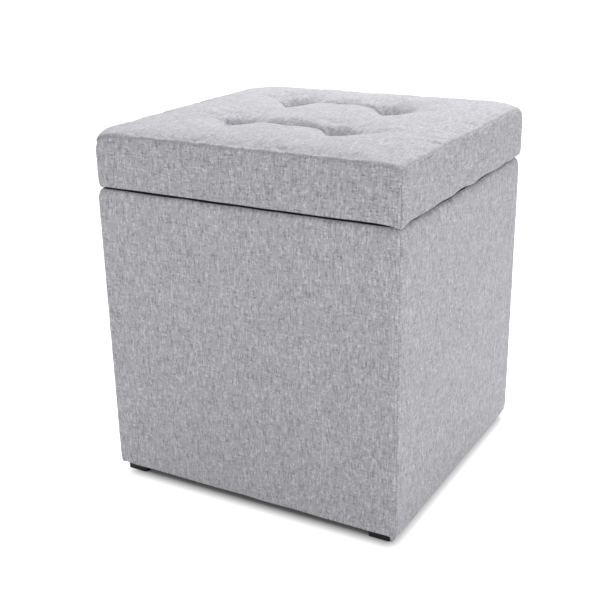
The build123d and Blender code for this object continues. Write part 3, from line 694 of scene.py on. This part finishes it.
def tuft_depth(x, y):
    """How far the tufts and the creases between them pull the top down, the deepest one nearly alone."""
    cubes = np.zeros(x.shape)
    for tx, ty in TUFTS:
        r = np.hypot(x - tx, y - ty)
        left, right, ahead = (np.maximum(d, 0) / np.maximum(r, 1) for d in (tx - x, x - tx, ty - y))
        narrow = 1 + NARROW_LEFT * left + (NARROW_AHEAD_RIGHT * right + NARROW_AHEAD_LEFT * left) * ahead
        mouth = np.clip((r - TUFT_FLAT) * narrow / (TUFT_MOUTH - TUFT_FLAT), 0, 1)
        full = lid_crown(np.array(tx), np.array(ty)) - (TUFT_SEAT - SEAT_PLAY)
        cubes = cubes + (full * (1 - mouth) ** TUFT_STEEP) ** 3
    past = np.maximum(abs(x) - TUFT_X, 0)
    between = 1 - 0.3 * np.cos(math.pi * np.clip(x / TUFT_X, -1, 1) / 2)
    row_depth = ROW_CREASE * between * smooth(1 - past / np.where(x < 0, ROW_REACH_LEFT, ROW_REACH_RIGHT))
    row_width = ROW_WIDTH + ROW_WIDER * bell((abs(x - ROW_SHIFT) - TUFT_X) / ROW_SPREAD)
    for ty in (-TUFT_Y, TUFT_Y):
        cubes = cubes + (row_depth * (1 - np.clip(abs(y - ty) / row_width, 0, 1)) ** ROW_POWER) ** 3
    column_depth = COLUMN_CREASE * fade(np.maximum(abs(y) - TUFT_Y, 0), COLUMN_REACH, 0)
    for tx in (-TUFT_X, TUFT_X):
        across = np.clip(abs(x - tx) / COLUMN_WIDTH, 0, 1)
        cubes = cubes + (column_depth * (1 - across) ** COLUMN_POWER) ** 3
    return cubes ** (1 / 3)


def pleats(x, y):
    """Small folds that run out from each button, and the sharp bottom of each crease."""
    out = np.zeros(x.shape)
    for k, (tx, ty) in enumerate(TUFTS):
        r, angle = np.hypot(x - tx, y - ty), np.arctan2(y - ty, x - tx)
        folds = abs(np.sin(4.5 * angle + 0.5 * np.sin(angle * 2 + k) + 1.3 * k))
        reach = bell((r - FOLDS_AT) / FOLDS_REACH) * (r > 4)
        out = out + reach * (FOLD_SWELL * folds - FOLD_DEPTH * (1 - folds) ** 2)
    ends = fade(np.maximum(abs(x) - TUFT_X, 0), CREASE_END, 0) * fade(abs(abs(x) - TUFT_X), 8, 18)
    for ty in (-TUFT_Y, TUFT_Y):
        out = out - CREASE_DEPTH * ends * np.exp(-abs(y - ty) / CREASE_WIDTH)
    return out


def lid_profile(fine):
    """(inset, height) of the side rows, from the hidden edge under the lid up to the seam."""
    profile = [(inset, LID_UNDER) for inset in (LID_RETURN, 20, 11, 6.5, 4.4)]
    for sin, cos in quarter(7 if fine else 4):
        profile.append((LID_ROLL * (1 - sin), LID_UNDER + LID_ROLL * (1 - cos)))
    profile += [(0, z) for z in (FINE_HEIGHTS if fine else COARSE_HEIGHTS)]
    if fine:
        profile += [(0.1, 442.2), (0.4, 443.6), (0.9, 444.6)]
    return profile + [(SEAM_INSET, LID_SEAM)]


def lid_lines(half, tuft, fine):
    at_edge, at_tuft, elsewhere = FINE_STEPS if fine else COARSE_STEPS

    def step(x):
        if x > half - EDGE_BAND:
            return at_edge
        return at_tuft if abs(x - tuft) < TUFT_BAND else elsewhere

    return lines([0, tuft, half - EDGE_BAND, half - LID_R, half], step)


def lid_shape(fine):
    """The lid's skin before its small folds: grid lines, ring, side rows, and the top's grid."""
    xs, ys = lid_lines(LID_X, TUFT_X, fine), lid_lines(LID_Y, TUFT_Y, fine)
    ring = Ring(xs, ys, LID_X, LID_Y, LID_R)
    seam_x, seam_y = LID_X - SEAM_INSET, LID_Y - SEAM_INSET
    x, y = np.meshgrid(xs * (seam_x / LID_X), ys * (seam_y / LID_Y), indexing="ij")
    x, y, _, _ = rounded(x, y, seam_x, seam_y, LID_R - SEAM_INSET)
    z = lid_crown(x, y) - tuft_depth(x, y)
    rows = []
    for inset, height in lid_profile(fine):
        out = 0
        if inset < 1.5:
            part = np.clip((height - LID_UNDER) / (LID_SEAM - LID_UNDER), 0, 1)
            out = SIDE_BELLY * math.sin(math.pi * part) * ring.along**0.5
        row = ring.at(inset, height, out)
        row[:, 2] -= corner_drop(row[:, 0], row[:, 1]) * fade(height, 425, 445)
        rows.append(row)
    rows[-1] = ring.row(x, y, z)
    return xs, ys, ring, np.array(rows), x, y, z


# The cloth run: its longest movement in mm, its length, and what is held how firmly
CLOTH_CAP, CLOTH_FRAMES = 3.2, 20
HOLD_CREASE, HOLD_SEAM, HOLD_CORNER = 0.8, 0.85, 0.75
CLOTH_SETTINGS = {
    "vertex_group_mass": "hold", "quality": 6, "mass": 0.25, "shrink_min": -0.012,
    "tension_stiffness": 30, "compression_stiffness": 30, "shear_stiffness": 18, "bending_stiffness": 1.2,
    "use_pressure": True, "uniform_pressure_force": 4,
}


def inflate():
    """Runs the padded top as cloth on a coarse copy and returns how far its points moved, in mm."""
    xs, ys, ring, rows, x, y, z = lid_shape(False)
    mesh = Mesh()
    ids = mesh.rows(ring, rows)
    grid = mesh.patch(ring, x, y, z, ids[-1])
    piece = mesh.make("cloth_run", "lid_fabric")
    start = np.concatenate(mesh.points)
    px, py, pz = start.T
    to_tuft = np.min([np.hypot(px - tx, py - ty) for tx, ty in TUFTS], axis=0)
    top = pz > 425
    crease = top & (abs(abs(py) - TUFT_Y) < 3) & (abs(px) < TUFT_X + 24)
    hold = np.where((pz < LID_UNDER + 6.5) | top & (to_tuft < 15.0), 1.0, 0.0)
    hold = np.maximum(hold, np.where(crease, HOLD_CREASE, 0.0))
    hold[ids[-1]] = HOLD_SEAM
    corners = ids[:, ring.corner < 6]
    hold[corners] = np.maximum(hold[corners], HOLD_CORNER)
    group = piece.vertex_groups.new(name="hold")
    for index in np.nonzero(hold > 0)[0]:
        group.add([int(index)], float(hold[index]), "REPLACE")
    cloth = piece.modifiers.new("cloth", "CLOTH")
    for key, value in CLOTH_SETTINGS.items():
        setattr(cloth.settings, key, value)
    cloth.settings.effector_weights.gravity = 0
    cloth.collision_settings.use_collision = False
    cloth.point_cache.frame_start, cloth.point_cache.frame_end = 1, CLOTH_FRAMES
    for number in range(1, CLOTH_FRAMES + 1):
        scene.frame_set(number)
    shown = piece.evaluated_get(bpy.context.evaluated_depsgraph_get())
    moved = np.empty(start.size, np.float32)
    shown.data.vertices.foreach_get("co", moved)
    moved = moved.reshape(-1, 3) / MM - start
    size = np.linalg.norm(moved, axis=1)
    moved *= (CLOTH_CAP * np.tanh(size / CLOTH_CAP) / np.maximum(size, 1e-9))[:, None]
    moved[:, 2] *= 1 - 0.9 * bell(to_tuft / 40)
    moved[pz < LID_SEAM + 1, :2] *= 0.12
    data = piece.data
    bpy.data.objects.remove(piece)
    bpy.data.meshes.remove(data)
    scene.frame_set(1)
    return xs, ys, ring, moved[grid], moved[ids]


def spread(values, from_x, from_y, to_x, to_y):
    """Values on one grid of lines, read at another's."""
    def along(grid, old, new):
        k = np.clip(np.searchsorted(old, new, side="right") - 1, 0, len(old) - 2)
        w = ((new - old[k]) / (old[k + 1] - old[k])).reshape(-1, *([1] * (grid.ndim - 1)))
        return grid[k] * (1 - w) + grid[k + 1] * w
    half = along(values, from_x, to_x)
    return np.swapaxes(along(np.swapaxes(half, 0, 1), from_y, to_y), 0, 1)


def shape_sides(ring, rows):
    """Moves the side rows: sewn corners that lean in and droop, small waves, a wavy lower edge."""
    s, along, corner = ring.start, ring.along, ring.corner
    droop, pinch = (amount[ring.near] * bell(corner / LOW_REACH) for amount in (LID_DROOP, LID_PINCH))
    waves = LOW_WAVES * bump_noise(s, 0 * s, 52, 3)
    waves = waves * np.where(ring.side == RIGHT_SIDE, RIGHT_WAVES, OTHER_WAVES)
    lift = waves - FRONT_HANG * along * (ring.side == FRONT_SIDE) - droop + LOW_RAISE
    for row, (inset, height) in zip(rows, lid_profile(True)):
        if inset > 8:
            continue
        out = -pinch * fade(height, LID_UNDER + 10, LID_UNDER)
        if inset < 1.5:
            out = out + SIDE_WAVES * bump_noise(s, height, 46, 8) * along
            out = out + SIDE_PUCKER * np.sin(2 * math.pi * height / 8) * bell(corner / 6)
        if inset < LID_ROLL + 0.5:
            lean = (LID_LEAN + LID_LEAN_BELOW * fade(height, 450, 430))[ring.near]
            out = out + seam_dent(ring.from_corner, 1.2, 0.8) - lean * bell(corner / SIDE_LEAN_REACH)
        out = out - SEAM_DIP * bell((LID_SEAM - height) / 1.6)
        out = out + SEAM_SWELL * bell((LID_SEAM - 3.2 - height) / 1.8)
        row += ring.normal * out[:, None]
        shift = np.stack(soft_shift(row[:, 0], row[:, 1]), axis=1)
        row[:, :2] += shift * fade(height, 426, 442)
        row[:, 2] += lift * fade(height, LID_UNDER + 24, LID_UNDER) * fade(inset, 9, 4)


def lid_skin():
    xs, ys, ring, rows, x, y, z = lid_shape(True)
    old_x, old_y, old_ring, top_move, side_move = inflate()
    move = spread(top_move, old_x, old_y, xs, ys)
    x, y, z = x + move[..., 0], y + move[..., 1], z + move[..., 2]
    old_rows = np.array([height - inset for inset, height in lid_profile(False)])
    new_rows = np.array([height - inset for inset, height in lid_profile(True)])
    side = np.concatenate([side_move, side_move[:, :1]], axis=1)
    rows = rows + spread(side, old_rows, np.append(old_ring.turn, 4), new_rows, ring.turn)
    z = z + pleats(x, y)
    dx, dy = soft_shift(x, y)
    x, y = x + dx, y + dy
    inside = from_seam(x, y)
    z = z + TOP_WAVES * bump_noise(x, y, 70, 31) * fade(inside, 0, 20)
    shape_sides(ring, rows)
    dip = 0.15 * bell(inside / 1.2)
    rows[-1] = ring.row(x, y, z - dip) - SEAM_PULL * ring.normal
    mesh = Mesh()
    # Rows of the lid's underside past this inset get the black cloth slot: painted shade for the dark gap
    # over the base
    ids = mesh.rows(ring, rows, [int(inset > LID_PAINTED_SHADE_INSET) for inset, _ in lid_profile(True)])
    mesh.slot = 2
    mesh.patch(ring, x, y, z, ids[-1])
    piece = mesh.make("lid_skin", "lid_fabric", "black_cloth", "lid_top_fabric")
    threads = dashes("lid_top_stitches", [closed_line(ring, rows[-1], 0.05)], 2.8, 2.2, 0.14, "thread")
    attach(threads, "lid")
    outside = [r for r, (inset, _) in enumerate(lid_profile(True)) if inset < LID_ROLL + 0.2][:-2]
    corner_threads("lid_corner_stitches", ring, rows[outside], "lid")
    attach(piece, "lid")
    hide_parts("lid_cover")
    return piece, (x, y, z), xs, ys


# -------- other soft pieces
# A covered button's outline from its middle down, mm: radius, height over its seat
BUTTON_OUTLINE = [
    (0, 7), (2.5, 6.85), (5, 6.35), (7.3, 5.4), (9.2, 4.1), (10.4, 2.7),
    (11, 1.3), (10.7, 0.3), (9, 0),
]
BUTTON_SEGMENTS = 72
# The cushion, mm: how far it lies below and inside the skin and in from its corners; its side rows
CUSHION_BELOW, CUSHION_INSIDE, CUSHION_CORNERS = 2.2, 3.4, 3.6
CUSHION_SIDES = [(4.4, BOARD_TOP + 0.3)] + [(3.2, z) for z in (BOARD_TOP + 1.8, 404, 412, 420, 430, 438)]


def covered_buttons():
    """Domed buttons in the lid's fabric, with the small folds of the cover round their rims."""
    angle = np.linspace(0, 2 * math.pi, BUTTON_SEGMENTS, endpoint=False)
    for k, (tx, ty) in enumerate(TUFTS):
        name = ("rear" if ty > 0 else "front") + "_" + ("right" if tx > 0 else "left")
        mesh = Mesh()
        rows = []
        for r, z in BUTTON_OUTLINE[1:]:
            fold = 0.3 * fade(r, 7, 11) * abs(np.sin(9 * angle + k)) if z > 0.1 else 0 * angle
            x, y = tx + (r - fold) * np.cos(angle), ty + (r - fold) * np.sin(angle)
            rows.append(np.stack([x, y, TUFT_SEAT + z - 0.4 * fold], axis=1))
        ids = mesh.add(rows)
        crown, foot = (mesh.add([tx, ty, TUFT_SEAT + BUTTON_OUTLINE[end][1]]) for end in (0, -1))
        faces = [between(a, b) for a, b in zip(ids[1:], ids)]
        for tip, rim, turn in ((crown, ids[0], 1), (foot, ids[-1], -1)):
            fan = [rim[::2], rim[1::2], np.roll(rim[::2], -1), np.full(BUTTON_SEGMENTS // 2, tip)]
            faces.append(np.stack(fan[::turn], axis=1))
        faces = np.concatenate(faces)
        mesh.quads(faces, np.concatenate(mesh.points)[faces][..., :2] + BUTTON_APART)
        piece = mesh.make("button_" + name, "lid_fabric")
        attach(piece, "lid")
        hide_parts("tuft_button_" + name)


def lid_cushion(top, xs, ys):
    """The foam under the lid's skin: the same surface on every other line, set in, down to the board."""
    x, y, z = top
    steep = np.sqrt(np.gradient(z, xs, axis=0) ** 2 + np.gradient(z, ys, axis=1) ** 2 + 1)
    pick = [np.unique(np.append(np.arange(0, len(grid), 2), len(grid) - 1)) for grid in (xs, ys)]
    x, y = x * (LID_X - CUSHION_INSIDE) / LID_X, y * (LID_Y - CUSHION_INSIDE) / LID_Y
    x, y, z = (grid[np.ix_(*pick)] for grid in (x, y, z - CUSHION_BELOW * np.minimum(steep, 2.2)))
    ring = Ring(xs[pick[0]], ys[pick[1]], LID_X, LID_Y, LID_R)
    out = -CUSHION_CORNERS * bell(ring.corner / 15)
    rows = [ring.at(inset, height, out) for inset, height in CUSHION_SIDES]
    rows.append(ring.row(x, y, z - 1))
    mesh = Mesh()
    ids = mesh.rows(ring, rows)
    mesh.patch(ring, x, y, z, ids[-1])
    low_x, low_y = x.copy(), y.copy()
    low_x[ring.i, ring.j], low_y[ring.i, ring.j] = rows[0][:, 0], rows[0][:, 1]
    mesh.patch(ring, low_x, low_y, np.full(x.shape, BOARD_TOP + 0.3), ids[0], up=False)
    piece = mesh.make("lid_cushion", "foam")
    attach(piece, "lid")
    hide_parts("lid_foam")


# The lining in the well, mm: half sizes and corner radius, heights, bend at the floor, hem (inset, drop)
LINED_X, LINED_Y, LINED_R = 179.6, 169.6, 3
LINING_TOP, WELL_FLOOR, FLOOR_BEND, LINING_OUT = 372, 38.2, 6, 0.25
HEM = [
    (-1, 1.2), (-0.8, 0.4), (-0.4, 0), (-0.05, 0.2), (0, 1), (0, 4), (0, 6.6),
    (-0.25, 7.2), (-0.25, 9),
]
HEM_STITCH_ROW = 5


def well_lining():
    """The cloth box in the well: hem, walls with slack folds, and floor."""
    xs, ys = (edged([0, half - LINED_R, half], 1, 5, 8) for half in (LINED_X, LINED_Y))
    ring = Ring(xs, ys, LINED_X, LINED_Y, LINED_R)
    s = ring.start
    profile = [(inset, LINING_TOP - drop) for inset, drop in HEM]
    profile += [(-LINING_OUT, z) for z in np.arange(LINING_TOP - 15, 48, -6)]
    for sin, cos in quarter(5):
        profile.append((FLOOR_BEND * (1 - cos) - LINING_OUT, WELL_FLOOR + FLOOR_BEND * (1 - sin)))
    rows = []
    for inset, z in profile:
        slack = fade(z, LINING_TOP - 23, LINING_TOP - 53) * fade(z, 40, 60)
        fold = 0.5 + 0.5 * bump_noise(s, z * 0.45, 70, 17)
        fold = fold + 0.45 * bump_noise(s + 0.25 * z, 0.3 * z, 36, 23)
        out = slack * ring.along**0.4 * np.clip(fold, 0, 1.9)
        rows.append(ring.at(max(inset, 0), z, out - min(inset, 0)))
    bend = FLOOR_BEND - LINING_OUT
    x, y = np.meshgrid(xs * (LINED_X - bend) / LINED_X, ys * (LINED_Y - bend) / LINED_Y, indexing="ij")
    x[ring.i, ring.j], y[ring.i, ring.j] = rows[-1][:, 0], rows[-1][:, 1]
    inside = np.minimum(LINED_X - FLOOR_BEND - abs(x), LINED_Y - FLOOR_BEND - abs(y))
    rise = 0.7 * np.clip(0.5 + 0.6 * bump_noise(x, y, 80, 41), 0, 2)
    mesh = Mesh()
    ids = mesh.rows(ring, rows)
    mesh.patch(ring, x, y, WELL_FLOOR + rise * fade(inside, 0, 30), ids[-1])
    piece = mesh.make("well_lining", "black_cloth")
    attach(piece, "base")
    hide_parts("base_lining")
    hem_line = closed_line(ring, rows[HEM_STITCH_ROW], -0.05)
    hem = dashes("lining_stitches", [hem_line], 4, 1.6, 0.22, "black_thread")
    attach(hem, "base")


def flat_cloth(name, half_x, half_y, z, into, body, replaced, seed):
    """A stapled flat cloth, hemmed at its edge, that faces down and bulges up by into."""
    xs, ys = (edged([0, half - 8, half], 1.6, 6, 9) for half in (half_x, half_y))
    x, y = np.meshgrid(xs, ys, indexing="ij")
    edge = np.minimum(half_x - abs(x), half_y - abs(y))
    fold = 0.45 + 0.5 * bump_noise(x, y, 75, seed) + 0.3 * bump_noise(x, y * 0.4, 40, seed + 1)
    z_cloth = z + into * fade(edge, 7, 21) * np.clip(fold, 0, 1.6)
    z_cloth = z_cloth + np.where(edge > 8.0, 0.12, 0.0) * np.sign(into)
    z_cloth = np.where(edge < 0.9, z + 0.45 * np.sign(into), z_cloth)
    ring = Ring(xs, ys, half_x, half_y, 0.01)
    mesh = Mesh()
    mesh.patch(ring, x, y, z_cloth, mesh.add(ring.row(x, y, z_cloth)), up=False)
    piece = mesh.make(name, "black_cloth")
    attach(piece, body)
    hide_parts(replaced)
    return piece


# -------- stitches
# A stitch is a spindle: share of its length, share of its radius
STITCH = [(0, 0.35), (0.22, 0.95), (0.5, 1), (0.78, 0.95), (1, 0.35)]
STITCH_SIDES = 6


def closed_line(ring, row, out):
    """A closed line of points along a row of a ring, moved outwards."""
    line = row + out * ring.normal
    return np.concatenate([line, line[:1]])


def dashes(name, paths, length, gap, radius, finish):
    """Short threads along one or more lines, each a thin spindle."""
    around = np.linspace(0, 2 * math.pi, STITCH_SIDES, endpoint=False)[:, None]
    mesh = Mesh()
    for line in paths:
        s = distances(line)
        count = int(s[-1] // (length + gap))
        for begin in np.arange(count) * s[-1] / count:
            places = begin + np.array([t for t, _ in STITCH]) * length
            centre = np.stack([np.interp(places, s, line[:, k]) for k in range(3)], axis=1)
            heading = centre[-1] - centre[0]
            heading /= max(np.linalg.norm(heading), 1e-9)
            side = np.cross(heading, [0, 0, 1] if abs(heading[2]) < 0.9 else [0, 1, 0])
            side /= np.linalg.norm(side)
            circle = radius * (np.cos(around) * side + np.sin(around) * np.cross(side, heading))
            rows = [middle + share * circle for middle, (_, share) in zip(centre, STITCH)]
            ids = mesh.add(rows)
            faces = [np.stack([a, b, np.roll(b, -1), np.roll(a, -1)], axis=1) for a, b in zip(ids, ids[1:])]
            faces += [cap[[[0, 1, 2, 3], [0, 3, 4, 5]]] for cap in (ids[0], ids[-1][::-1])]
            faces = np.concatenate(faces)
            mesh.quads(faces, np.zeros((*faces.shape, 2)))
    return mesh.make(name, finish)


def corner_threads(name, ring, rows, body):
    """The stitches in the grooves of the four corner seams."""
    at_corners = [int(np.searchsorted(ring.s, s - 1e-6)) for s in ring.corner_s]
    seams = [rows[:, index] + 0.12 * ring.normal[index] for index in at_corners]
    piece = dashes(name, seams, 2.2, 1.6, 0.28, "thread")
    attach(piece, body)


# -------- camera, lights, floor
CAMERA_PLACE = (0.6215, -1.1458, 0.6899)
YAW, PITCH, ROLL = 0.5163956, 0.3545218, -0.0167969
CAMERA_LENS, CAMERA_SENSOR = 63.43, 36

# Round lamps: name, place, height they are aimed at, size (all m), power (W)
LAMPS = [
    ("top_light", (-0.3, 1.7, 2.2), 0.3, 1.8, 79),
    ("right_light", (2.6, -0.5, 0.75), 0.25, 1.8, 23.8),
    ("front_light", (-0.6, -2.8, 1.3), 0.25, 2, 24),
]
AMBIENT = 0.31

# Where the floor is seen, it glows outside this rectangle under the base, fully from GLOW_WIDTH on:
# half sizes and shift, m. The band round the base left without glow is a painted contact shadow.
# FLOOR_LIT is its tone for the light it throws back, FLOOR_SEEN, darker, for the eye, deepening that painted
# shadow.
FOOTPRINT_X, FOOTPRINT_Y, FOOTPRINT_SHIFT = 0.1755, 0.179, 0.0075
GLOW_WIDTH, GLOW = 0.023, 1
FLOOR_LIT, FLOOR_SEEN = 0.85, 0.4
FLOOR_HALF = 30


def camera():
    data = bpy.data.cameras.new("camera")
    data.lens, data.sensor_width = CAMERA_LENS, CAMERA_SENSOR
    data.clip_start, data.clip_end = 0.05, 60
    holder = put_in_scene("camera", data)
    aimed = Matrix.Rotation(YAW, 4, "Z") @ Matrix.Rotation(math.pi / 2 - PITCH, 4, "X")
    aimed = aimed @ Matrix.Rotation(ROLL, 4, "Z")
    holder.matrix_world = Matrix.Translation(CAMERA_PLACE) @ aimed
    scene.camera = holder


def lamps():
    for name, place, aim, size, power in LAMPS:
        data = bpy.data.lights.new(name, "AREA")
        data.shape, data.size, data.energy = "DISK", size, power
        lamp = put_in_scene(name, data)
        lamp.location = place
        lamp.rotation_euler = (Vector((0, 0, aim)) - Vector(place)).to_track_quat("-Z", "Y").to_euler()


def seen_rays(n):
    """1 for the rays that see the background: camera, glossy and transmission."""
    ray = n.node("LightPath").outputs
    seen = n.math("MAXIMUM", ray["Is Camera Ray"], ray["Is Glossy Ray"])
    return n.math("MAXIMUM", seen, ray["Is Transmission Ray"])


def surroundings():
    """White where it is seen, dim as a light."""
    n = Nodes("world", "worlds")
    n.tree.nodes.clear()
    scene.world = n.owner
    dim, white = (n.node("Background", Color=WHITE, Strength=power) for power in (AMBIENT, 1))
    mix = n.node("MixShader", i0=seen_rays(n), i1=dim, i2=white)
    n.node("OutputWorld", i0=mix)


def floor():
    n = Nodes("floor")
    n.tree.nodes.clear()
    seen = seen_rays(n)
    from_middle = n.vector("SUBTRACT", n.position(), (FOOTPRINT_SHIFT, 0, 0))
    past = n.vector("SUBTRACT", n.vector("ABSOLUTE", from_middle), (FOOTPRINT_X, FOOTPRINT_Y, 0))
    past = n.vector("MAXIMUM", past, (0, 0, 0))
    distance = n.node("VectorMath", {"operation": "LENGTH"}, i0=past).outputs["Value"]
    # Painted contact shadow: no glow inside the rectangle, full glow from GLOW_WIDTH outside it
    glow = n.math("MULTIPLY", seen, n.ramp(distance, 0, GLOW_WIDTH, 0, GLOW))
    # The eye sees a darker floor than the light it throws back: painted shade where the glow is missing
    tone = n.ramp(seen, 0, 1, FLOOR_LIT, FLOOR_SEEN)
    diffuse = n.node("BsdfDiffuse", Color=tone)
    shine = n.node("Emission", Color=WHITE, Strength=glow)
    both = n.node("AddShader", i0=diffuse, i1=shine)
    n.node("OutputMaterial", i0=both)
    mesh = bpy.data.meshes.new("floor")
    corners = [(x * FLOOR_HALF, y * FLOOR_HALF, 0) for x, y in ((-1, -1), (1, -1), (1, 1), (-1, 1))]
    mesh.from_pydata(corners, [], [(0, 1, 2, 3)])
    mesh.materials.append(n.owner)
    plane = put_in_scene("floor", mesh)


# -------- build
scene.view_settings.view_transform = "Standard"
camera()
lamps()
surroundings()
floor()
finish_nodes()

base, base_ring, base_cover_rows, base_cover_profile = base_skin()
side_pad(base_ring, base_cover_rows, base_cover_profile)
lid, lid_top, lid_xs, lid_ys = lid_skin()
covered_buttons()
lid_cushion(lid_top, lid_xs, lid_ys)
well_lining()
lid_cloth = flat_cloth("lid_lining_cloth", 175, 165, LID_UNDER - 0.8, 0.35, "lid", "lid_lining", 51)
dust_cloth = flat_cloth("dust_cloth", 188, 178, 9.3, 0.3, "base", "dust_cover", 61)
